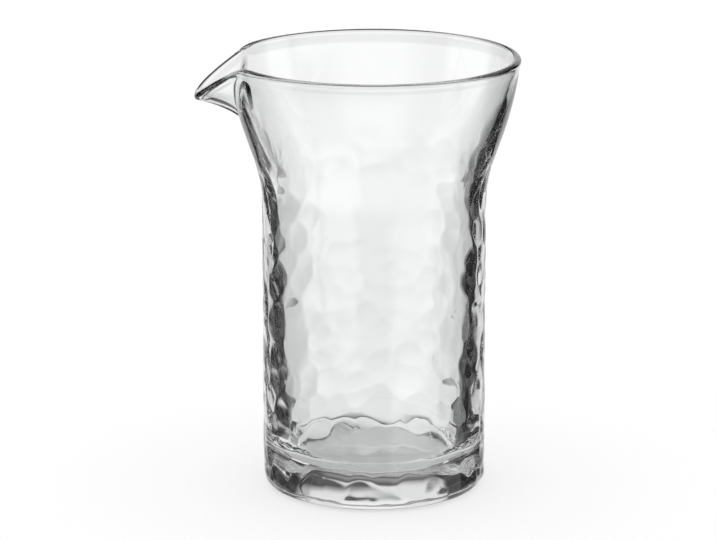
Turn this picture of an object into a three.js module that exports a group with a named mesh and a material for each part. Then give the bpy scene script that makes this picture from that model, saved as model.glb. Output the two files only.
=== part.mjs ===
// A small milk jug of clear pressed glass, made in one piece: a straight thick-walled body on a
// heavy base, a flared mouth with a rounded rim, and a pouring spout drawn out of the rim.
// Millimetres, +Z up. The origin is the centre of the flat underside and the spout points to -X.
import * as THREE from "three";

// Outside of the jug
const HEIGHT = 120;
const BODY_DIAMETER = 61.4;
const RIM_DIAMETER = 79.7;
const HEEL_RADIUS = 3.5;

// Mouth: the wall leaves the straight body this far below the rim and leans outwards.
// The two pulls are the lengths of the curve's handles, at the body and at the rim.
const FLARE_HEIGHT = 41;
const FLARE_BODY_PULL = 14;
const FLARE_RIM_PULL = 22;
const FLARE_RIM_LEAN = 0.12;

// Glass thickness: the cavity widens evenly up the body, the mouth thins between the foot and the top
// of its taper, and the rim ends in a fire-polished roll
const BASE_THICKNESS = 8.8;
const WALL_AT_BASE = 6.2;
const WALL_AT_TAPER = 4.2;
const WALL_AT_RIM = 2;
const WALL_TAPER_FOOT = 75;
const WALL_TAPER_TOP = 117;
const RIM_ROLL = 2.35;
const RIM_ROLL_BLEND = 1.8;
const CAVITY_CORNER_RADIUS = 7;

// Spout: how far it reaches past the rim, how far its lip dips and how deep below the rim the wall
// is drawn out. The half widths of the reach and of the dip are measured along the rim, to where each
// has fallen to about a third: the trough is wide at the lip and narrow at its root. A larger sweep
// draws the root in, and the last two values set how full the nose and the dip of the lip are.
const SPOUT_REACH = 9.8;
const SPOUT_DROP = 8.9;
const SPOUT_DEPTH = 15;
const SPOUT_HALF_WIDTH = 10.8;
const SPOUT_DIP_HALF_WIDTH = 10.2;
const SPOUT_ROOT_HALF_WIDTH = 3.8;
const SPOUT_SWEEP = 1.22;
const SPOUT_NOSE = 2.8;
const SPOUT_DIP = 2.4;

// Facets
const COLUMNS = 88;
const COLUMN_GATHER = 0.55;
const BODY_ROWS = 3;
const FLARE_ROWS = 13;
const FLARE_ROW_CROWDING = 1.6;
const ROLL_STEPS = 6;
const CORNER_STEPS = 4;

const bodyRadius = BODY_DIAMETER / 2;
const rollRadius = RIM_ROLL / 2;
const rollHeight = HEIGHT - rollRadius;
const rollCentreRadius = RIM_DIAMETER / 2 - rollRadius;
const flareFoot = HEIGHT - FLARE_HEIGHT;
const cavityFoot = BASE_THICKNESS + CAVITY_CORNER_RADIUS;

// Outer line of the flared mouth in the half plane, x as radius and y as height. It ends beside
// the middle of the rim roll.
const rimLean = new THREE.Vector2(FLARE_RIM_LEAN, 1).normalize();
const rimEnd = new THREE.Vector2(
  rollCentreRadius + (rimLean.y * WALL_AT_RIM) / 2,
  rollHeight - (rimLean.x * WALL_AT_RIM) / 2,
);
const flare = new THREE.CubicBezierCurve(
  new THREE.Vector2(bodyRadius, flareFoot),
  new THREE.Vector2(bodyRadius, flareFoot + FLARE_BODY_PULL),
  rimEnd.clone().addScaledVector(rimLean, -FLARE_RIM_PULL),
  rimEnd,
);

// Stations count along the wall: -1 at the cavity's foot, 0 at the foot of the flare, 1 at the rim
function outerLine(station) {
  if (station > 0) {
    return {
      point: flare.getPoint(station),
      tangent: flare.getTangent(station),
    };
  }
  const height = THREE.MathUtils.lerp(cavityFoot, flareFoot, station + 1);
  return {
    point: new THREE.Vector2(bodyRadius, height),
    tangent: new THREE.Vector2(0, 1),
  };
}

function wallThickness(height) {
  const up = THREE.MathUtils.clamp(
    (height - cavityFoot) / (WALL_TAPER_FOOT - cavityFoot),
    0,
    1,
  );
  const body = THREE.MathUtils.lerp(WALL_AT_BASE, WALL_AT_TAPER, up);
  const thin = THREE.MathUtils.smoothstep(
    height,
    WALL_TAPER_FOOT,
    WALL_TAPER_TOP,
  );
  return THREE.MathUtils.lerp(body, WALL_AT_RIM, thin);
}

// The wall swells by this much on each side where it meets the rim roll
function rollSwell(height) {
  const near = THREE.MathUtils.smoothstep(
    height,
    rollHeight - RIM_ROLL_BLEND,
    rollHeight,
  );
  return (rollRadius - WALL_AT_RIM / 2) * near;
}

// How far the glass at this height and angle is drawn out and pulled down to form the spout.
// The angle counts from the middle of the spout.
function spoutPull(height, angle) {
  const rise = THREE.MathUtils.clamp(
    (height - (rollHeight - SPOUT_DEPTH)) / SPOUT_DEPTH,
    0,
    1,
  );
  const strength = rise ** SPOUT_SWEEP;
  const aside = Math.abs((angle * RIM_DIAMETER) / 2);
  const share = (halfWidth, fullness) => {
    const width = THREE.MathUtils.lerp(SPOUT_ROOT_HALF_WIDTH, halfWidth, rise);
    return strength * Math.exp(-((aside / width) ** fullness));
  };
  return {
    out: SPOUT_REACH * share(SPOUT_HALF_WIDTH, SPOUT_NOSE),
    down: SPOUT_DROP * share(SPOUT_DIP_HALF_WIDTH, SPOUT_DIP),
  };
}

function aroundAxis(radius, height, angle) {
  return new THREE.Vector3(
    -radius * Math.cos(angle),
    -radius * Math.sin(angle),
    height,
  );
}

// Inner face of the wall
function innerFace(station, angle) {
  const { point, tangent } = outerLine(station);
  const wall = wallThickness(point.y);
  const pull = spoutPull(point.y, angle);
  const radius = point.x - tangent.y * wall + pull.out;
  const height = point.y + tangent.x * wall - pull.down;
  return aroundAxis(radius, height, angle);
}

// Local frame of the wall: its inner point, the way out through the glass, and the way up it
function wallFrame(station, angle) {
  const step = 1e-3;
  const below = innerFace(station - step, angle);
  const above = innerFace(Math.min(station + step, 1), angle);
  const up = above.sub(below).normalize();
  const before = innerFace(station, angle - step);
  const after = innerFace(station, angle + step);
  const along = after.sub(before);
  const out = along.cross(up).normalize();
  return { inner: innerFace(station, angle), up, out };
}

function arc(centreRadius, centreHeight, radius, from, to, steps) {
  return Array.from({ length: steps + 1 }, (_, i) => {
    const turn = THREE.MathUtils.lerp(from, to, i / steps);
    return new THREE.Vector2(
      centreRadius + radius * Math.cos(turn),
      centreHeight + radius * Math.sin(turn),
    );
  });
}

const bodyStations = Array.from(
  { length: BODY_ROWS },
  (_, i) => i / BODY_ROWS - 1,
);
// Rows of the flare lie closer together towards the rim
const flareStations = Array.from(
  { length: FLARE_ROWS + 1 },
  (_, i) => 1 - (1 - i / FLARE_ROWS) ** FLARE_ROW_CROWDING,
);
const stations = [...bodyStations, ...flareStations];

const heel = arc(
  bodyRadius - HEEL_RADIUS,
  HEEL_RADIUS,
  HEEL_RADIUS,
  -Math.PI / 2,
  0,
  CORNER_STEPS,
);
const cavityCorner = arc(
  bodyRadius - wallThickness(cavityFoot) - CAVITY_CORNER_RADIUS,
  cavityFoot,
  CAVITY_CORNER_RADIUS,
  0,
  -Math.PI / 2,
  CORNER_STEPS,
).slice(1);

// One section of the glass at an angle: heel, outer face, rim roll, inner face and cavity corner
function section(angle) {
  const turned = (p) => aroundAxis(p.x, p.y, angle);
  const outer = [];
  const inner = [];
  for (const station of stations) {
    const frame = wallFrame(station, angle);
    const { y: height } = outerLine(station).point;
    const swell = rollSwell(height);
    const through = wallThickness(height) + swell;
    outer.push(frame.inner.clone().addScaledVector(frame.out, through));
    inner.push(frame.inner.clone().addScaledVector(frame.out, -swell));
  }
  const rim = wallFrame(1, angle);
  const rollCentre = rim.inner
    .clone()
    .addScaledVector(rim.out, WALL_AT_RIM / 2);
  const roll = [];
  for (let i = 1; i < ROLL_STEPS; i++) {
    const turn = (Math.PI * i) / ROLL_STEPS;
    roll.push(
      rollCentre
        .clone()
        .addScaledVector(rim.out, rollRadius * Math.cos(turn))
        .addScaledVector(rim.up, rollRadius * Math.sin(turn)),
    );
  }
  return [
    ...heel.map(turned),
    ...outer,
    ...roll,
    ...inner.reverse(),
    ...cavityCorner.map(turned),
  ];
}

// Columns of the body gather towards the spout, where the form is finest
const angles = Array.from({ length: COLUMNS }, (_, i) => {
  const turn = (2 * Math.PI * i) / COLUMNS - Math.PI;
  return turn - COLUMN_GATHER * Math.sin(turn);
});

// Skin over all the sections, closed at the middle of the underside and of the cavity's floor
function skin(sections, undersideMiddle, floorMiddle) {
  const rows = sections[0].length;
  const points = sections.flat();
  const underside = points.push(undersideMiddle) - 1;
  const floor = points.push(floorMiddle) - 1;
  const index = [];
  sections.forEach((_, i) => {
    const here = i * rows;
    const next = ((i + 1) % sections.length) * rows;
    index.push(underside, next, here);
    for (let j = 0; j < rows - 1; j++) {
      index.push(here + j, next + j, next + j + 1);
      index.push(here + j, next + j + 1, here + j + 1);
    }
    index.push(floor, here + rows - 1, next + rows - 1);
  });
  const geometry = new THREE.BufferGeometry().setFromPoints(points);
  geometry.setIndex(index);
  geometry.computeVertexNormals();
  return geometry;
}

const clearGlass = new THREE.MeshStandardMaterial({
  color: 0xf2f5f4,
  roughness: 0.04,
  metalness: 0,
  transparent: true,
  opacity: 0.35,
});

const glassJug = new THREE.Mesh(
  skin(
    angles.map(section),
    new THREE.Vector3(0, 0, 0),
    new THREE.Vector3(0, 0, BASE_THICKNESS),
  ),
  clearGlass,
);
glassJug.name = "glass_jug";

const milkJug = new THREE.Group();
milkJug.add(glassJug);

export default milkJug;
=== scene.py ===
"""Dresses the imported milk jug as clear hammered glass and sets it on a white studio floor."""

import math

import bpy
import numpy as np
from bpy.props import FloatProperty, FloatVectorProperty, IntProperty, PointerProperty
from bpy.types import Operator, Panel, PropertyGroup
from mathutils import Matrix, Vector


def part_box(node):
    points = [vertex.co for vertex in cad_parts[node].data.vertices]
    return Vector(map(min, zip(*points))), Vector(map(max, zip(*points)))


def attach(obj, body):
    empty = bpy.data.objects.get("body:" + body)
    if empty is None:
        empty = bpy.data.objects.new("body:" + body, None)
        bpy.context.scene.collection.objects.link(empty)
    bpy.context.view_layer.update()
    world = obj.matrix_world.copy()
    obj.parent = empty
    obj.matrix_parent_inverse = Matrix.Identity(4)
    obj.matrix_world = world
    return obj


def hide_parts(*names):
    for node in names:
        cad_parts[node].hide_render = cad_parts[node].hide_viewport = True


bl_info = {
    "name": "Hammered Glass Milk Jug",
    "version": (1, 0, 0),
    "blender": (4, 5, 0),
    "location": "3D View > Sidebar > Milk Jug",
    "description": "Models a small clear glass milk jug with a hammered body and a drawn spout",
    "category": "Add Mesh",
}

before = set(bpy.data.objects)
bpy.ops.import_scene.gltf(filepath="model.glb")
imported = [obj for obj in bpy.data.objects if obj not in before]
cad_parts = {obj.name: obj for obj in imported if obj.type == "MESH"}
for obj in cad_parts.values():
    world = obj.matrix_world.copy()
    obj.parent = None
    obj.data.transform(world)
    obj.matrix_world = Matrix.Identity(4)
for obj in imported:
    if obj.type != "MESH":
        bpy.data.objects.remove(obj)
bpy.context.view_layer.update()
JUG_NODE = "glass_jug"
JUG_LOW, JUG_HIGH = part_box(JUG_NODE)

MM = 0.001

# Light crosses many glass faces before it leaves the thick base
GLASS_BOUNCES = 32

# The floor lies just under the jug, and the round of it near the jug a hair above the rest
FLOOR_RADIUS = 6.0
FLOOR_SIDES = 96
FLOOR_DROP = 0.25 * MM
NEAR_FLOOR_LIFT = 0.02 * MM

# Width of the camera's sensor in millimetres
SENSOR_WIDTH = 36.0

# Rows that fill the flat underside and the flat floor of the cavity, as shares of the flat's radius
UNDERSIDE_ROWS = (0.0, 0.5, 0.96)
CAVITY_FLOOR_ROWS = (0.92, 0.5, 0.0)

# Points taken to sum up lengths along the wall and to space its rows evenly
LENGTH_SAMPLES = 2001
STATION_SAMPLES = 4001

# Step, in stations and in radians, over which the directions of the wall are taken
FRAME_STEP = 1e-3

# Points of the spun skin that lie closer than this are merged
MERGE_DISTANCE = 0.001 * MM

# Mesh attribute that keeps the number of each point's row through the spin
ROW_NUMBER = "row"

# Rings and columns of bosses that can reach a point, counted from its own
NEAR_ROWS = (-2, -1, 0, 1, 2)
NEAR_COLUMNS = (-1, 0, 1, 2)

# Unrelated factors that turn a boss's column, row and salt into a scattered number
SCATTER_FACTORS = (12.9898, 78.233, 37.719)
SCATTER_GAIN = 43758.5453

# What the glass sees of the studio, in degrees: compass direction from +Y towards -X, half width with
# its soft edge, lowest and highest elevation with their soft edges, and brightness
OPENINGS = (
    {"facing": 0, "half": 29, "soft": 4.5, "low": (-22, -21), "high": (16, 20.5), "level": 0.77},
    {"facing": 0, "half": 10.5, "soft": 8.5, "low": (-50, -12.5), "high": (-12, -4), "level": 1.04},
    {"facing": 0, "half": 14, "soft": 5.5, "low": (-50, -35), "high": (12.5, 21.5), "level": 0.88},
    {"facing": 0, "half": 23, "soft": 10, "low": (13, 40), "high": (28, 47), "level": 0.4},
    {"facing": 180, "half": 28, "soft": 20, "low": (-9, 2), "high": (50, 68), "level": 0.8},
    {"facing": 180, "half": 128, "soft": 21, "low": (-100, -95), "high": (-36, -22), "level": 0.96},
    {"facing": 225, "half": 24, "soft": 6, "low": (-36, -13), "high": (0, 14), "level": 1.0},
    {"facing": 225, "half": 24, "soft": 6, "low": (-60, -40), "high": (0, 14), "level": 0.76},
    {"facing": 45, "half": 18, "soft": 4, "low": (-46, -26), "high": (-26, -22), "level": 1.0},
    {"facing": 45, "half": 18, "soft": 4, "low": (-75, -60), "high": (-26, -22), "level": 0.8},
    {"facing": 90, "half": 24, "soft": 6, "low": (-24, -4), "high": (8, 22), "level": 1.0},
    {"facing": 270, "half": 13, "soft": 4, "low": (-36, -8), "high": (8, 22), "level": 1.0},
    {"facing": 270, "half": 13, "soft": 4, "low": (-60, -40), "high": (0, 14), "level": 0.76},
    {"facing": 0, "half": 360, "soft": 1, "low": (48, 75), "high": (95, 100), "level": 0.55},
)


def length(name, description, millimetres):
    """A length property whose default is given in millimetres."""
    return FloatProperty(
        name=name,
        description=description,
        default=millimetres * MM,
        min=0.0,
        precision=5,
        unit="LENGTH",
    )


class JugShape(PropertyGroup):
    """Sizes of the glass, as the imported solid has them."""

    height: FloatProperty(
        name="Height",
        description="From the underside to the top of the rim",
        default=JUG_HIGH[2] - JUG_LOW[2],
        precision=5,
        unit="LENGTH",
    )
    rim_diameter: FloatProperty(
        name="Rim diameter",
        description="Across the outside of the rim",
        default=JUG_HIGH[1] - JUG_LOW[1],
        precision=5,
        unit="LENGTH",
    )
    body_diameter: length("Body diameter", "Across the straight part of the body", 61.4)
    heel_radius: length("Heel radius", "Rounding between the underside and the body", 3.5)
    flare_height: length("Flare height", "How far below the rim the wall leaves the body", 41.0)
    flare_body_pull: length("Flare pull, body", "Handle of the flare's curve at the body", 14.0)
    flare_rim_pull: length("Flare pull, rim", "Handle of the flare's curve at the rim", 22.0)
    flare_rim_lean: FloatProperty(
        name="Flare lean",
        description="Outward slope of the wall where it meets the rim",
        default=0.12,
    )
    base_thickness: length("Base thickness", "Glass under the cavity", 8.8)
    wall_at_base: length("Wall at base", "Glass thickness low in the body", 6.2)
    wall_at_taper: length("Wall at taper", "Glass thickness at the foot of the taper", 4.2)
    wall_at_rim: length("Wall at rim", "Glass thickness under the rim", 2.0)
    wall_taper_foot: length("Taper foot", "Height at which the mouth begins to thin", 75.0)
    wall_taper_top: length("Taper top", "Height at which the wall is thinnest", 117.0)
    rim_roll: length("Rim roll", "Thickness of the rounded rim", 2.35)
    rim_roll_blend: length("Rim roll blend", "Length over which the wall swells to the rim", 1.8)
    cavity_corner: length("Cavity corner", "Rounding at the bottom of the cavity", 7.0)
    spout_reach: length("Spout reach", "How far the spout reaches past the rim", 9.8)
    spout_drop: length("Spout drop", "How far the spout's lip dips below the rim", 8.9)
    spout_depth: length("Spout depth", "How far below the rim the wall is drawn out", 15.0)
    spout_half_width: length("Spout half width", "Half width of the trough at the lip", 10.8)
    spout_dip_half_width: length("Spout dip half width", "Half width of the lip's dip", 10.2)
    spout_root_half_width: length("Spout root half width", "Half width at the trough's root", 3.8)
    spout_sweep: FloatProperty(
        name="Spout sweep",
        description="How late the wall turns out into the spout",
        default=1.22,
    )
    spout_nose: FloatProperty(
        name="Spout nose",
        description="How full the nose of the spout is",
        default=2.8,
    )
    spout_dip: FloatProperty(
        name="Spout dip",
        description="How full the dip of the lip is",
        default=2.4,
    )


class HammerMarks(PropertyGroup):
    """The shallow round bosses over the outside of the body, as a hammered mould leaves them."""

    around: IntProperty(
        name="Marks around",
        description="Bosses in one ring around the body",
        default=29,
        min=3,
    )
    row_pitch: length("Row pitch", "Distance between two rings of bosses", 6.2)
    depth: length("Depth", "How high a middling boss rises", 0.175)
    spread: length("Spread", "Radius at which a middling boss runs out", 4.2)
    crease_softness: length("Crease softness", "Rounding of the creases between bosses", 0.009)
    wander: FloatProperty(
        name="Wander",
        description="How far a boss strays from its place, as a share of the pitch",
        default=0.5,
        min=0.0,
        max=0.6,
    )
    unevenness: FloatProperty(
        name="Unevenness",
        description="How much the bosses differ in height and breadth",
        default=0.42,
        min=0.0,
        max=1.0,
    )
    drift: FloatProperty(
        name="Drift",
        description="How far the rings of bosses rise and fall around the body, as a share of the pitch",
        default=0.9,
    )
    drift_waves: IntProperty(
        name="Drift waves",
        description="How often the rings rise and fall around the body",
        default=2,
        min=1,
    )
    drift_turn: FloatProperty(
        name="Drift turn",
        description="Where around the body the rings begin to rise",
        subtype="ANGLE",
        default=1.0,
    )
    fade_foot: length("Fade foot", "Height below which the heel is smooth", 0.1)
    full_foot: length("Full foot", "Height from which the bosses have their full relief", 1.6)
    base_gain: FloatProperty(
        name="Base gain",
        description="How much higher the bosses round the base are, as a share of their height",
        default=0.8,
        min=0.0,
    )
    base_top: length("Base top", "Height above which the bosses are no longer raised", 11.0)
    full_top: length("Full top", "Height above which the bosses grow flatter", 70.0)
    fade_top: length("Fade top", "Height above which the mouth is smooth", 116.0)


class GlassMesh(PropertyGroup):
    """How finely the glass is meshed."""

    columns: IntProperty(name="Columns", description="Faces around the jug", default=320)
    column_gather: FloatProperty(
        name="Column gather",
        description="How much the columns crowd towards the spout",
        default=0.4,
        min=0.0,
        max=0.9,
    )
    outer_rows: IntProperty(name="Outer rows", description="Faces up the outside", default=192)
    inner_rows: IntProperty(name="Inner rows", description="Faces up the inside", default=62)
    roll_rows: IntProperty(name="Roll rows", description="Faces over the rim", default=12)
    corner_rows: IntProperty(name="Corner rows", description="Faces round a corner", default=9)


class GlassFinish(PropertyGroup):
    """Finish of the clear glass."""

    colour: FloatVectorProperty(
        name="Colour",
        description="Tint of the glass",
        subtype="COLOR",
        size=3,
        min=0.0,
        max=1.0,
        default=(0.985, 0.99, 0.988),
    )
    shadow_colour: FloatVectorProperty(
        name="Shadow colour",
        description="Light that the glass lets through to the floor",
        subtype="COLOR",
        size=3,
        min=0.0,
        max=1.0,
        default=(0.9, 0.91, 0.905),
    )
    cord_colour: FloatVectorProperty(
        name="Cord colour",
        description="Tint of the faint upright cords in the glass",
        subtype="COLOR",
        size=3,
        min=0.0,
        max=1.0,
        default=(0.975, 0.985, 0.981),
    )
    cord_spacing: length("Cord spacing", "Distance from one cord in the glass to the next", 9.0)
    cord_stretch: FloatProperty(
        name="Cord stretch",
        description="How many times longer than wide a cord is",
        default=5.0,
        min=1.0,
    )
    cord_detail: FloatProperty(
        name="Cord detail",
        description="Levels of detail in the cords",
        default=3.0,
        min=0.0,
    )
    wave_spacing: length("Wave spacing", "Distance from one wave of the skin to the next", 5.0)
    wave_height: length("Wave height", "How high the waves of the fire-polished skin are", 0.006)
    wave_detail: FloatProperty(
        name="Wave detail",
        description="Levels of detail in the waves",
        default=1.0,
        min=0.0,
    )
    haze: FloatProperty(
        name="Haze",
        description="Roughness of the dullest spots of the skin",
        default=0.004,
        min=0.0,
        max=1.0,
    )
    haze_from: FloatProperty(
        name="Haze from",
        description="Height of a wave, from 0 to 1, from which the skin grows dull",
        default=0.5,
        min=0.0,
        max=1.0,
    )
    haze_to: FloatProperty(
        name="Haze to",
        description="Height of a wave, from 0 to 1, at which the skin is dullest",
        default=0.8,
        min=0.0,
        max=1.0,
    )
    refraction: FloatProperty(
        name="Refraction",
        description="Index of refraction of the glass",
        default=1.51,
        min=1.0,
    )


class Studio(PropertyGroup):
    """Floor, light and camera."""

    floor_colour: FloatVectorProperty(
        name="Floor colour",
        description="Colour of the floor",
        subtype="COLOR",
        size=3,
        min=0.0,
        max=1.0,
        default=(0.96, 0.96, 0.96),
    )
    floor_glow: FloatProperty(
        name="Floor glow",
        description="Share of the floor's white that doesn't darken in the jug's shadow",
        default=0.5,
        min=0.0,
        max=1.0,
    )
    floor_glow_in_glass: FloatProperty(
        name="Floor glow in glass",
        description="Share of the floor's white that shows through the glass whatever the shadow",
        default=0.2,
        min=0.0,
        max=1.0,
    )
    near_floor_radius: length("Near floor", "Radius of the floor that shows in the glass", 36.0)
    cloth_level: FloatProperty(
        name="Cloth level",
        description="Brightness of the dark cloths that draw the edges of the glass",
        default=0.02,
        min=0.0,
        max=1.0,
    )
    sky_strength: FloatProperty(
        name="Sky strength",
        description="Even light of the studio on the floor",
        default=1.04,
        min=0.0,
    )
    lamp_height: FloatProperty(
        name="Lamp height",
        description="Height of the round lamp over the jug",
        default=1.4,
        min=0.0,
        unit="LENGTH",
    )
    lamp_size: FloatProperty(
        name="Lamp size",
        description="Width of the round lamp",
        default=1.2,
        min=0.0,
        unit="LENGTH",
    )
    lamp_power: FloatProperty(
        name="Lamp power",
        description="Power of the round lamp",
        default=1.5,
        min=0.0,
        unit="POWER",
    )
    camera_place: FloatVectorProperty(
        name="Camera place",
        description="Where the camera stands",
        subtype="TRANSLATION",
        unit="LENGTH",
        size=3,
        default=(0.0, -1.008654, 0.320811),
    )
    camera_tilt: FloatProperty(
        name="Camera tilt",
        description="How far the camera looks down",
        subtype="ANGLE",
        default=0.25296,
    )
    camera_turn: FloatProperty(
        name="Camera turn",
        description="How far the camera is turned aside",
        subtype="ANGLE",
        default=0.00435,
    )
    camera_lens: FloatProperty(
        name="Camera lens",
        description="Focal length in millimetres",
        default=190.785,
    )


def smoothstep(value, low, high):
    """0 below low, 1 above high, and a smooth step between them."""
    share = np.clip((value - low) / (high - low), 0.0, 1.0)
    return share * share * (3.0 - 2.0 * share)


def unit(vectors):
    """The vectors along the last axis, each scaled to length 1."""
    return vectors / np.linalg.norm(vectors, axis=-1, keepdims=True)


class Wall:
    """The wall of the glass as a surface over station and angle.

    Stations count up the wall: -1 at the cavity's foot, 0 at the foot of the flare and 1 at the rim.
    Angles count around the axis from the middle of the spout.
    """

    def __init__(self, jug):
        self.jug = jug
        self.body_radius = jug.body_diameter / 2
        self.roll_radius = jug.rim_roll / 2
        self.roll_height = jug.height - self.roll_radius
        self.flare_foot = jug.height - jug.flare_height
        self.cavity_foot = jug.base_thickness + jug.cavity_corner
        lean = unit(np.array([jug.flare_rim_lean, 1.0]))
        roll_centre = jug.rim_diameter / 2 - self.roll_radius
        beside_roll = np.array([lean[1], -lean[0]]) * jug.wall_at_rim / 2
        rim_end = np.array([roll_centre, self.roll_height]) + beside_roll
        body_end = np.array([self.body_radius, self.flare_foot])
        self.flare = (
            body_end,
            body_end + np.array([0.0, jug.flare_body_pull]),
            rim_end - lean * jug.flare_rim_pull,
            rim_end,
        )

    def outer_line(self, station):
        """Points and tangents of the outer line in the half plane, as (radius, height)."""
        a, b, c, d = self.flare
        t = np.clip(station, 0.0, 1.0)[..., None]
        s = 1.0 - t
        point = a * s**3 + 3 * b * s * s * t + 3 * c * s * t * t + d * t**3
        tangent = unit((b - a) * s * s + 2 * (c - b) * s * t + (d - c) * t * t)
        below = np.minimum(station, 0.0) * (self.flare_foot - self.cavity_foot)
        point[..., 1] += below
        return point, tangent

    def station_at(self, height):
        """Station on the straight body at a height."""
        return (height - self.flare_foot) / (self.flare_foot - self.cavity_foot)

    def thickness(self, height):
        """Thickness of the glass at a height of the outer line."""
        jug = self.jug
        up = (height - self.cavity_foot) / (jug.wall_taper_foot - self.cavity_foot)
        widening = jug.wall_at_taper - jug.wall_at_base
        body = jug.wall_at_base + widening * np.clip(up, 0.0, 1.0)
        thin = smoothstep(height, jug.wall_taper_foot, jug.wall_taper_top)
        return body + (jug.wall_at_rim - body) * thin

    def swell(self, height):
        """How far the wall swells on each side as it meets the rim roll."""
        jug = self.jug
        near = smoothstep(height, self.roll_height - jug.rim_roll_blend, self.roll_height)
        return (self.roll_radius - jug.wall_at_rim / 2) * near

    def spout_pull(self, height, angle):
        """How far the glass is drawn out and pulled down to form the spout."""
        jug = self.jug
        root = self.roll_height - jug.spout_depth
        rise = np.clip((height - root) / jug.spout_depth, 0.0, 1.0)
        strength = rise**jug.spout_sweep
        aside = np.abs(angle * jug.rim_diameter / 2)

        def share(half_width, fullness):
            width = jug.spout_root_half_width + (half_width - jug.spout_root_half_width) * rise
            return strength * np.exp(-((aside / width) ** fullness))

        out = jug.spout_reach * share(jug.spout_half_width, jug.spout_nose)
        down = jug.spout_drop * share(jug.spout_dip_half_width, jug.spout_dip)
        return out, down

    def inner_face(self, station, angle):
        """Points of the inner face of the wall."""
        point, tangent = self.outer_line(station)
        wall = self.thickness(point[..., 1])
        out, down = self.spout_pull(point[..., 1], angle)
        radius = point[..., 0] - tangent[..., 1] * wall + out
        height = point[..., 1] + tangent[..., 0] * wall - down
        return around_axis(radius, height, angle)

    def local_frame(self, station, angle):
        """Points of the inner face, with the way out through the glass and the way up it."""
        step = FRAME_STEP
        top = np.minimum(station + step, 1.0)
        up = unit(self.inner_face(top, angle) - self.inner_face(station - step, angle))
        along = self.inner_face(station, angle + step) - self.inner_face(station, angle - step)
        out = unit(np.cross(along, up))
        return self.inner_face(station, angle), out, up

    def arc_lengths(self, station):
        """Lengths along the outer line, counted from the underside."""
        fine = np.linspace(self.station_at(0.0), 1.0, LENGTH_SAMPLES)
        point, _ = self.outer_line(fine)
        steps = np.linalg.norm(np.diff(point, axis=0), axis=1)
        return np.interp(station, fine, np.concatenate([[0.0], np.cumsum(steps)]))

    def even_stations(self, first, last, steps):
        """Stations at even lengths along the outer line, both ends included."""
        fine = np.linspace(first, last, STATION_SAMPLES)
        lengths = self.arc_lengths(fine)
        share = (lengths - lengths[0]) / (lengths[-1] - lengths[0])
        return np.interp(np.linspace(0.0, 1.0, steps + 1), share, fine)


def around_axis(radius, height, angle):
    """Points at a radius and height, turned about the axis from the spout's direction."""
    return np.stack([-radius * np.cos(angle), -radius * np.sin(angle), height], axis=-1)


def scatter(column, row, salt):
    """A repeatable number from 0 to 1 for each boss."""
    by_column, by_row, by_salt = SCATTER_FACTORS
    wave = np.sin(column * by_column + row * by_row + salt * by_salt) * SCATTER_GAIN
    return wave - np.floor(wave)


def hammer_depth(marks, wall, station, angle):
    """How deep the hammered face lies under the smooth outer face, which middling bosses touch."""
    drift = marks.drift * np.sin(marks.drift_waves * angle + marks.drift_turn)
    along = wall.arc_lengths(station) / marks.row_pitch + drift
    turns = angle / math.tau * marks.around
    pitch = math.tau * wall.body_radius / marks.around
    steepness = marks.depth / marks.spread**2
    total = np.zeros_like(along)
    for row_step in NEAR_ROWS:
        row = np.floor(along) + row_step
        stagger = 0.5 * np.mod(row, 2)
        for column_step in NEAR_COLUMNS:
            column = np.floor(turns - stagger) + column_step
            own = np.mod(column, marks.around)
            shift_across = (scatter(own, row, 1) - 0.5) * 2 * marks.wander
            shift_along = (scatter(own, row, 2) - 0.5) * 2 * marks.wander
            rise = marks.depth * (1 + marks.unevenness * (scatter(own, row, 3) * 2 - 1))
            fall = steepness * (1 + marks.unevenness * (scatter(own, row, 4) * 2 - 1))
            across = (turns - column - stagger - shift_across) * pitch
            upward = (along - row - 0.5 - shift_along) * marks.row_pitch
            boss = rise - fall * (across**2 + upward**2)
            total += np.exp(boss / marks.crease_softness)
    relief = marks.crease_softness * np.log(1.0 + total)
    height = wall.outer_line(station)[0][..., 1]
    low = smoothstep(height, marks.fade_foot, marks.full_foot)
    high = 1.0 - smoothstep(height, marks.full_top, marks.fade_top)
    base = 1.0 + marks.base_gain * (1.0 - smoothstep(height, marks.full_foot, marks.base_top))
    return (marks.depth - relief) * low * high * base


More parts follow.
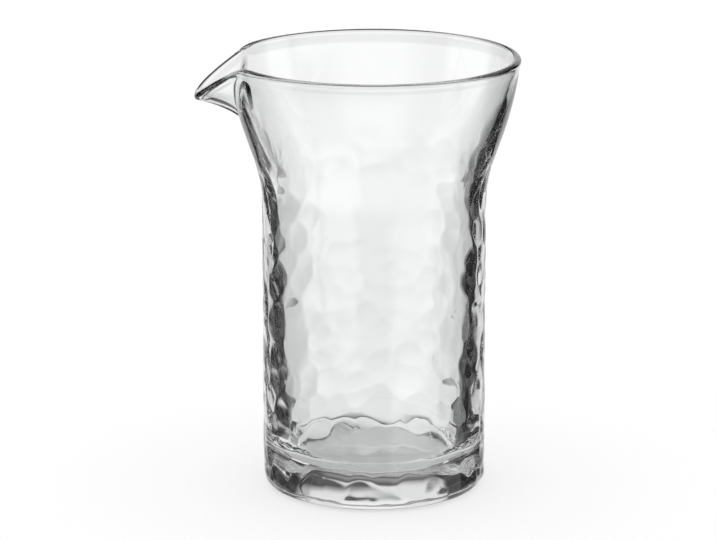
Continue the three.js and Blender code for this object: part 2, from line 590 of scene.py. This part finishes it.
class Section:
    """One section of the glass, from the middle of the underside round to the middle of the floor.

    A plain point turns about the axis at its own radius and height. A wall point lies on the wall's
    local frame: through the glass from the inner face and, on the rim roll, above the rim.
    """

    def __init__(self, wall, mesh):
        jug = wall.jug
        self.wall = wall
        self.parts = []

        flat = wall.body_radius - jug.heel_radius
        self.add_plain(flat * np.array(UNDERSIDE_ROWS), 0.0)
        heel = np.linspace(-math.pi / 2, 0.0, mesh.corner_rows + 1)[:-1]
        heel_radius = flat + jug.heel_radius * np.cos(heel)
        heel_height = jug.heel_radius * (1.0 + np.sin(heel))
        self.add_plain(heel_radius, heel_height, hammered=1.0)

        outer = wall.even_stations(wall.station_at(jug.heel_radius), 1.0, mesh.outer_rows)
        height = wall.outer_line(outer)[0][:, 1]
        self.add_wall(outer, wall.thickness(height) + wall.swell(height), hammered=1.0)

        turn = np.linspace(0.0, math.pi, mesh.roll_rows + 1)[1:-1]
        across = jug.wall_at_rim / 2 + wall.roll_radius * np.cos(turn)
        self.add_wall(np.ones_like(turn), across, above=wall.roll_radius * np.sin(turn))

        inner = wall.even_stations(1.0, -1.0, mesh.inner_rows)
        self.add_wall(inner, -wall.swell(wall.outer_line(inner)[0][:, 1]))

        corner = np.linspace(0.0, -math.pi / 2, mesh.corner_rows + 1)[1:]
        floor = wall.body_radius - wall.thickness(wall.cavity_foot) - jug.cavity_corner
        corner_radius = floor + jug.cavity_corner * np.cos(corner)
        self.add_plain(corner_radius, wall.cavity_foot + jug.cavity_corner * np.sin(corner))
        self.add_plain(floor * np.array(CAVITY_FLOOR_ROWS), jug.base_thickness)

        self.table = np.concatenate(self.parts)

    def add_plain(self, radius, height, hammered=0.0):
        """Rows that turn about the axis."""
        station = self.wall.station_at(height)
        self.add(radius, height, station, 0.0, 0.0, hammered, 0.0)

    def add_wall(self, station, through, above=0.0, hammered=0.0):
        """Rows that lie on the wall's local frame."""
        self.add(0.0, 0.0, station, through, above, hammered, 1.0)

    def add(self, *columns):
        """Rows as (radius, height, station, through, above, hammered, on the wall)."""
        self.parts.append(np.stack(np.broadcast_arrays(*columns), axis=-1))

    def points(self, row, angle, marks=None):
        """Points of the section's rows at an angle, hammered where marks are given."""
        radius, height, station, through, above, hammered, walled = self.table[row].T
        if marks is not None:
            dent = hammered * hammer_depth(marks, self.wall, station, angle)
            radius = radius - dent
            through = through - dent
        inner, out, up = self.wall.local_frame(station, angle)
        on_wall = inner + out * through[:, None] + up * above[:, None]
        return np.where(walled[:, None] > 0.5, on_wall, around_axis(radius, height, angle))


def deselect_all():
    """Leave edit mode and select nothing."""
    if bpy.context.mode != "OBJECT":
        bpy.ops.object.mode_set(mode="OBJECT")
    bpy.ops.object.select_all(action="DESELECT")


def draw_line(name, points):
    """A new mesh object holding one open line through the points, drawn point by point."""
    deselect_all()
    bpy.ops.mesh.primitive_plane_add(size=MM)
    line = bpy.context.object
    line.name = name
    line.data.name = name
    bpy.ops.object.mode_set(mode="EDIT")
    bpy.ops.mesh.select_all(action="SELECT")
    bpy.ops.mesh.merge(type="CENTER")
    bpy.ops.transform.translate(value=points[0])
    for step in np.diff(points, axis=0):
        bpy.ops.mesh.extrude_region_move(TRANSFORM_OT_translate={"value": step})
    bpy.ops.object.mode_set(mode="OBJECT")
    return line


def number_rows(mesh, profile):
    """Give each point of the drawn line the number of its row in the section."""
    drawn = np.array([vertex.co for vertex in mesh.vertices])
    apart = np.linalg.norm(drawn[:, None] - profile[None], axis=2)
    number = mesh.attributes.new(ROW_NUMBER, "INT", "POINT")
    number.data.foreach_set("value", apart.argmin(axis=1))


def spin_line(columns):
    """Spin the active line once round the axis into a closed skin that faces outwards."""
    bpy.ops.object.mode_set(mode="EDIT")
    bpy.ops.mesh.select_all(action="SELECT")
    bpy.ops.mesh.spin(
        steps=columns,
        angle=math.tau,
        center=(0.0, 0.0, 0.0),
        axis=(0.0, 0.0, 1.0),
    )
    bpy.ops.mesh.select_all(action="SELECT")
    bpy.ops.mesh.remove_doubles(threshold=MERGE_DISTANCE)
    bpy.ops.mesh.normals_make_consistent(inside=False)
    bpy.ops.object.mode_set(mode="OBJECT")


def shape_skin(mesh, section, gather, marks):
    """Move each point of the spun skin to its place, by its row and its angle round the axis."""
    count = len(mesh.vertices)
    places = np.empty(count * 3)
    mesh.vertices.foreach_get("co", places)
    places = places.reshape(count, 3)
    row = np.empty(count, dtype=np.int32)
    mesh.attributes[ROW_NUMBER].data.foreach_get("value", row)
    turn = np.arctan2(-places[:, 1], -places[:, 0])
    angle = turn - gather * np.sin(turn)
    shaped = section.points(row, angle, marks)
    mesh.vertices.foreach_set("co", shaped.ravel())
    mesh.attributes.remove(mesh.attributes[ROW_NUMBER])
    mesh.update()


def make_clear_glass(finish):
    """Clear glass with faint upright cords, a softly waved skin and a shadow that lets light through."""
    material = bpy.data.materials.new("clear_glass")
    material.use_nodes = True
    nodes = material.node_tree.nodes
    links = material.node_tree.links
    glass = nodes["Principled BSDF"]
    output = nodes["Material Output"]
    glass.inputs["IOR"].default_value = finish.refraction
    glass.inputs["Transmission Weight"].default_value = 1.0

    coordinates = nodes.new("ShaderNodeTexCoord")
    upright = nodes.new("ShaderNodeMapping")
    upright.inputs["Scale"].default_value = (1.0, 1.0, 1.0 / finish.cord_stretch)
    links.new(coordinates.outputs["Object"], upright.inputs["Vector"])
    cords = nodes.new("ShaderNodeTexNoise")
    cords.inputs["Scale"].default_value = 1.0 / finish.cord_spacing
    cords.inputs["Detail"].default_value = finish.cord_detail
    links.new(upright.outputs["Vector"], cords.inputs["Vector"])
    tint = nodes.new("ShaderNodeMix")
    tint.data_type = "RGBA"
    tint.inputs["A"].default_value = (*finish.colour, 1.0)
    tint.inputs["B"].default_value = (*finish.cord_colour, 1.0)
    links.new(cords.outputs["Fac"], tint.inputs["Factor"])
    links.new(tint.outputs["Result"], glass.inputs["Base Color"])

    waves = nodes.new("ShaderNodeTexNoise")
    waves.inputs["Scale"].default_value = 1.0 / finish.wave_spacing
    waves.inputs["Detail"].default_value = finish.wave_detail
    links.new(coordinates.outputs["Object"], waves.inputs["Vector"])
    skin = nodes.new("ShaderNodeBump")
    skin.inputs["Distance"].default_value = finish.wave_height
    links.new(waves.outputs["Fac"], skin.inputs["Height"])
    links.new(skin.outputs["Normal"], glass.inputs["Normal"])
    dull = nodes.new("ShaderNodeMapRange")
    dull.inputs["From Min"].default_value = finish.haze_from
    dull.inputs["From Max"].default_value = finish.haze_to
    dull.inputs["To Min"].default_value = 0.0
    dull.inputs["To Max"].default_value = finish.haze
    links.new(waves.outputs["Fac"], dull.inputs["Value"])
    links.new(dull.outputs["Result"], glass.inputs["Roughness"])

    path = nodes.new("ShaderNodeLightPath")
    clear = nodes.new("ShaderNodeBsdfTransparent")
    clear.inputs["Color"].default_value = (*finish.shadow_colour, 1.0)
    mix = nodes.new("ShaderNodeMixShader")
    links.new(path.outputs["Is Shadow Ray"], mix.inputs["Fac"])
    links.new(glass.outputs["BSDF"], mix.inputs[1])
    links.new(clear.outputs["BSDF"], mix.inputs[2])
    links.new(mix.outputs["Shader"], output.inputs["Surface"])
    return material


class MILKJUG_OT_glass(Operator):
    """Model the hammered glass jug"""

    bl_idname = "milk_jug.glass"
    bl_label = "Glass Jug"

    def execute(self, context):
        scene = context.scene
        settings = scene.milk_jug_mesh
        section = Section(Wall(scene.milk_jug_shape), settings)

        # The line is drawn opposite the spout, where the section has no trough
        rows = np.arange(len(section.table))
        profile = section.points(rows, np.full(len(rows), math.pi))
        jug = draw_line("hammered_glass_jug", profile)
        number_rows(jug.data, profile)
        spin_line(settings.columns)
        shape_skin(jug.data, section, settings.column_gather, scene.milk_jug_marks)
        bpy.ops.object.shade_smooth()

        jug.data.materials.clear()
        jug.data.materials.append(make_clear_glass(scene.milk_jug_finish))
        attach(jug, "root")
        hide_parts(JUG_NODE)
        return {"FINISHED"}


def make_opening_group():
    """Node group that masks one bright opening between the dark cloths of the studio."""
    group = bpy.data.node_groups.new("studio_opening", "ShaderNodeTree")
    sockets = group.interface
    sockets.new_socket("Direction", in_out="INPUT", socket_type="NodeSocketVector")
    sockets.new_socket("Facing", in_out="INPUT", socket_type="NodeSocketVector")
    for name in ("Side Outer", "Side Inner", "Low Outer", "Low Inner", "High Inner", "High Outer"):
        sockets.new_socket(name, in_out="INPUT", socket_type="NodeSocketFloat")
    sockets.new_socket("Level", in_out="INPUT", socket_type="NodeSocketFloat")
    sockets.new_socket("Light", in_out="OUTPUT", socket_type="NodeSocketFloat")
    nodes = group.nodes
    links = group.links
    given = nodes.new("NodeGroupInput")
    result = nodes.new("NodeGroupOutput")

    split = nodes.new("ShaderNodeSeparateXYZ")
    links.new(given.outputs["Direction"], split.inputs["Vector"])
    level = nodes.new("ShaderNodeCombineXYZ")
    links.new(split.outputs["X"], level.inputs["X"])
    links.new(split.outputs["Y"], level.inputs["Y"])
    compass = nodes.new("ShaderNodeVectorMath")
    compass.operation = "NORMALIZE"
    links.new(level.outputs["Vector"], compass.inputs[0])
    facing = nodes.new("ShaderNodeVectorMath")
    facing.operation = "DOT_PRODUCT"
    links.new(compass.outputs["Vector"], facing.inputs[0])
    links.new(given.outputs["Facing"], facing.inputs[1])

    def ramp(value, low, high):
        node = nodes.new("ShaderNodeMapRange")
        node.interpolation_type = "SMOOTHSTEP"
        links.new(value, node.inputs["Value"])
        links.new(given.outputs[low], node.inputs["From Min"])
        links.new(given.outputs[high], node.inputs["From Max"])
        return node.outputs["Result"]

    def product(first, second):
        node = nodes.new("ShaderNodeMath")
        node.operation = "MULTIPLY"
        links.new(first, node.inputs[0])
        links.new(second, node.inputs[1])
        return node.outputs["Value"]

    side = ramp(facing.outputs["Value"], "Side Outer", "Side Inner")
    low = ramp(split.outputs["Z"], "Low Outer", "Low Inner")
    high = ramp(split.outputs["Z"], "High Outer", "High Inner")
    mask = product(side, product(low, high))
    links.new(product(mask, given.outputs["Level"]), result.inputs["Light"])
    return group


def sine(degrees):
    """Height of a unit direction at an elevation, running on past straight up and straight down."""
    if abs(degrees) > 90:
        return math.copysign(abs(degrees) / 90, degrees)
    return math.sin(math.radians(degrees))


def cosine(degrees):
    """Cosine of a half width, running on below -1 past a half turn."""
    if degrees > 180:
        return -degrees / 180
    return math.cos(math.radians(degrees))


def make_world(studio):
    """White towards the camera, the openings between dark cloths for the glass, even light for the rest."""
    world = bpy.data.worlds.new("studio_light")
    bpy.context.scene.world = world
    world.use_nodes = True
    nodes = world.node_tree.nodes
    links = world.node_tree.links
    even = nodes["Background"]
    even.inputs["Strength"].default_value = studio.sky_strength
    even.inputs["Color"].default_value = (1.0, 1.0, 1.0, 1.0)

    group = make_opening_group()
    coordinates = nodes.new("ShaderNodeTexCoord")
    bright = None
    for opening in OPENINGS:
        node = nodes.new("ShaderNodeGroup")
        node.node_tree = group
        turn = math.radians(opening["facing"])
        links.new(coordinates.outputs["Generated"], node.inputs["Direction"])
        node.inputs["Facing"].default_value = (-math.sin(turn), math.cos(turn), 0.0)
        node.inputs["Side Outer"].default_value = cosine(opening["half"] + opening["soft"])
        node.inputs["Side Inner"].default_value = cosine(opening["half"] - opening["soft"])
        node.inputs["Low Outer"].default_value = sine(opening["low"][0])
        node.inputs["Low Inner"].default_value = sine(opening["low"][1])
        node.inputs["High Inner"].default_value = sine(opening["high"][0])
        node.inputs["High Outer"].default_value = sine(opening["high"][1])
        node.inputs["Level"].default_value = opening["level"]
        mask = node.outputs["Light"]
        if bright is not None:
            either = nodes.new("ShaderNodeMath")
            either.operation = "MAXIMUM"
            links.new(bright, either.inputs[0])
            links.new(mask, either.inputs[1])
            mask = either.outputs["Value"]
        bright = mask
    level = nodes.new("ShaderNodeMapRange")
    links.new(bright, level.inputs["Value"])
    level.inputs["To Min"].default_value = studio.cloth_level
    level.inputs["To Max"].default_value = 1.0
    openings = nodes.new("ShaderNodeBackground")
    openings.inputs["Color"].default_value = (1.0, 1.0, 1.0, 1.0)
    links.new(level.outputs["Result"], openings.inputs["Strength"])
    white = nodes.new("ShaderNodeBackground")
    white.inputs["Color"].default_value = (1.0, 1.0, 1.0, 1.0)
    white.inputs["Strength"].default_value = 1.0

    path = nodes.new("ShaderNodeLightPath")
    through = nodes.new("ShaderNodeMath")
    through.operation = "MAXIMUM"
    links.new(path.outputs["Is Glossy Ray"], through.inputs[0])
    links.new(path.outputs["Is Transmission Ray"], through.inputs[1])
    in_glass = nodes.new("ShaderNodeMixShader")
    links.new(through.outputs["Value"], in_glass.inputs["Fac"])
    links.new(even.outputs["Background"], in_glass.inputs[1])
    links.new(openings.outputs["Background"], in_glass.inputs[2])
    seen = nodes.new("ShaderNodeMixShader")
    links.new(path.outputs["Is Camera Ray"], seen.inputs["Fac"])
    links.new(in_glass.outputs["Shader"], seen.inputs[1])
    links.new(white.outputs["Background"], seen.inputs[2])
    links.new(seen.outputs["Shader"], nodes["World Output"].inputs["Surface"])


def make_floor_white(studio):
    """Floor white: partly its own light, so that the jug's shadow stays soft."""
    material = bpy.data.materials.new("floor_white")
    material.use_nodes = True
    nodes = material.node_tree.nodes
    links = material.node_tree.links
    nodes.remove(nodes["Principled BSDF"])
    matt = nodes.new("ShaderNodeBsdfDiffuse")
    matt.inputs["Color"].default_value = (*studio.floor_colour, 1.0)
    white = nodes.new("ShaderNodeEmission")
    white.inputs["Color"].default_value = (1.0, 1.0, 1.0, 1.0)
    white.inputs["Strength"].default_value = 1.0
    path = nodes.new("ShaderNodeLightPath")
    in_glass = nodes.new("ShaderNodeMath")
    in_glass.operation = "MULTIPLY"
    links.new(path.outputs["Is Transmission Ray"], in_glass.inputs[0])
    in_glass.inputs[1].default_value = studio.floor_glow_in_glass
    share = nodes.new("ShaderNodeMath")
    share.operation = "MULTIPLY_ADD"
    links.new(path.outputs["Is Camera Ray"], share.inputs[0])
    share.inputs[1].default_value = studio.floor_glow
    links.new(in_glass.outputs["Value"], share.inputs[2])
    mix = nodes.new("ShaderNodeMixShader")
    links.new(share.outputs["Value"], mix.inputs["Fac"])
    links.new(matt.outputs["BSDF"], mix.inputs[1])
    links.new(white.outputs["Emission"], mix.inputs[2])
    links.new(mix.outputs["Shader"], nodes["Material Output"].inputs["Surface"])
    return material


def make_floor(name, radius, drop, material):
    """A round of floor."""
    deselect_all()
    bpy.ops.mesh.primitive_circle_add(
        vertices=FLOOR_SIDES,
        radius=radius,
        fill_type="NGON",
        location=(0.0, 0.0, -drop),
    )
    floor = bpy.context.object
    floor.name = name
    floor.data.materials.append(material)
    return floor


def make_floors(studio):
    """The wide floor, hidden from the glass, and the round of it near the jug that the glass shows."""
    material = make_floor_white(studio)
    wide = make_floor("floor", FLOOR_RADIUS, FLOOR_DROP, material)
    wide.visible_glossy = False
    wide.visible_transmission = False
    make_floor("floor_near_jug", studio.near_floor_radius, FLOOR_DROP - NEAR_FLOOR_LIFT, material)


def make_lamp(studio):
    """A soft round lamp over the jug that lights the floor and doesn't show in the glass."""
    deselect_all()
    bpy.ops.object.light_add(type="AREA", location=(0.0, 0.0, studio.lamp_height))
    lamp = bpy.context.object
    lamp.name = "top_light"
    lamp.data.shape = "DISK"
    lamp.data.size = studio.lamp_size
    lamp.data.energy = studio.lamp_power
    lamp.visible_glossy = False
    lamp.visible_transmission = False
    lamp.visible_camera = False


def make_camera(studio):
    """The camera at the photograph's viewing angle."""
    deselect_all()
    bpy.ops.object.camera_add(
        location=studio.camera_place,
        rotation=(math.pi / 2 - studio.camera_tilt, 0.0, studio.camera_turn),
    )
    camera = bpy.context.object
    camera.name = "photo_camera"
    camera.data.lens = studio.camera_lens
    camera.data.sensor_width = SENSOR_WIDTH
    camera.data.dof.use_dof = False
    bpy.context.scene.camera = camera


class MILKJUG_OT_studio(Operator):
    """Set the floor, the light, the dark cloths and the camera"""

    bl_idname = "milk_jug.studio"
    bl_label = "Studio"

    def execute(self, context):
        studio = context.scene.milk_jug_studio
        context.scene.view_settings.view_transform = "Standard"
        light_paths = context.scene.cycles
        light_paths.max_bounces = GLASS_BOUNCES
        light_paths.glossy_bounces = GLASS_BOUNCES
        light_paths.transmission_bounces = GLASS_BOUNCES
        make_world(studio)
        make_floors(studio)
        make_lamp(studio)
        make_camera(studio)
        return {"FINISHED"}


class MILKJUG_PT_sidebar(Panel):
    """Sizes, finish and steps of the milk jug"""

    bl_label = "Milk Jug"
    bl_idname = "MILKJUG_PT_sidebar"
    bl_space_type = "VIEW_3D"
    bl_region_type = "UI"
    bl_category = "Milk Jug"

    def draw(self, context):
        layout = self.layout
        for name in SETTINGS:
            group = getattr(context.scene, name)
            column = layout.column(align=True)
            for key in group.__annotations__:
                column.prop(group, key)
        layout.operator(MILKJUG_OT_glass.bl_idname)
        layout.operator(MILKJUG_OT_studio.bl_idname)


SETTINGS = {
    "milk_jug_shape": JugShape,
    "milk_jug_marks": HammerMarks,
    "milk_jug_mesh": GlassMesh,
    "milk_jug_finish": GlassFinish,
    "milk_jug_studio": Studio,
}
CLASSES = (*SETTINGS.values(), MILKJUG_OT_glass, MILKJUG_OT_studio, MILKJUG_PT_sidebar)


def register():
    for item in CLASSES:
        bpy.utils.register_class(item)
    for name, group in SETTINGS.items():
        setattr(bpy.types.Scene, name, PointerProperty(type=group))


def unregister():
    for name in SETTINGS:
        delattr(bpy.types.Scene, name)
    for item in reversed(CLASSES):
        bpy.utils.unregister_class(item)


def main():
    register()
    bpy.ops.milk_jug.glass()
    bpy.ops.milk_jug.studio()


if __name__ == "__main__":
    main()
